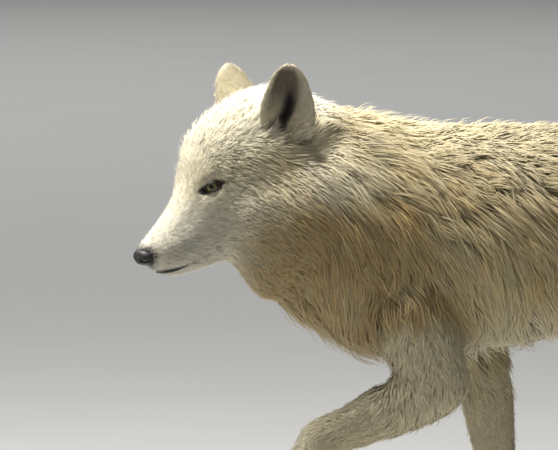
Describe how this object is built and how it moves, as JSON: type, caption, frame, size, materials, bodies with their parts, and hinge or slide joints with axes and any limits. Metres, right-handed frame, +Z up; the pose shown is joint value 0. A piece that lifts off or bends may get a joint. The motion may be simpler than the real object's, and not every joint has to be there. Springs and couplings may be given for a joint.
{
  "type": "arctic wolf",
  "caption": "Life-size arctic wolf, walking with its left forefoot lifted and its head low and turned to its left.",
  "frame": {"origin": "middle of the wolf's bounding box, on the floor under its belly", "axes": "+X towards the tail, so the wolf faces -X; +Z up; the wolf's left side is at -Y"},
  "size_m": [1.2558, 0.267, 0.7963],
  "materials": {
    "coat": "long cream-white fur, tan and grey on the neck and back",
    "eye": "wet amber eye",
    "nose": "moist black nose",
    "claw": "dark horn"
  },
  "bodies": {
    "root": {"head": "coat", "jaw": "coat", "ear_left": "coat", "ear_right": "coat", "neck": "coat", "chest": "coat", "loin": "coat", "tail_root": "coat", "tail_tip": "coat", "arm_left": "coat", "forearm_left": "coat", "forepaw_left": "coat", "arm_right": "coat", "forearm_right": "coat", "forepaw_right": "coat", "thigh_left": "coat", "shank_left": "coat", "hindpaw_left": "coat", "thigh_right": "coat", "shank_right": "coat", "hindpaw_right": "coat", "eye_left": "eye", "eye_right": "eye", "nose": "nose", "claw_fore_left_1": "claw", "claw_fore_left_2": "claw", "claw_fore_left_3": "claw", "claw_fore_left_4": "claw", "claw_fore_right_1": "claw", "claw_fore_right_2": "claw", "claw_fore_right_3": "claw", "claw_fore_right_4": "claw", "claw_hind_left_1": "claw", "claw_hind_left_2": "claw", "claw_hind_left_3": "claw", "claw_hind_left_4": "claw", "claw_hind_right_1": "claw", "claw_hind_right_2": "claw", "claw_hind_right_3": "claw", "claw_hind_right_4": "claw"}
  },
  "joints": []
}
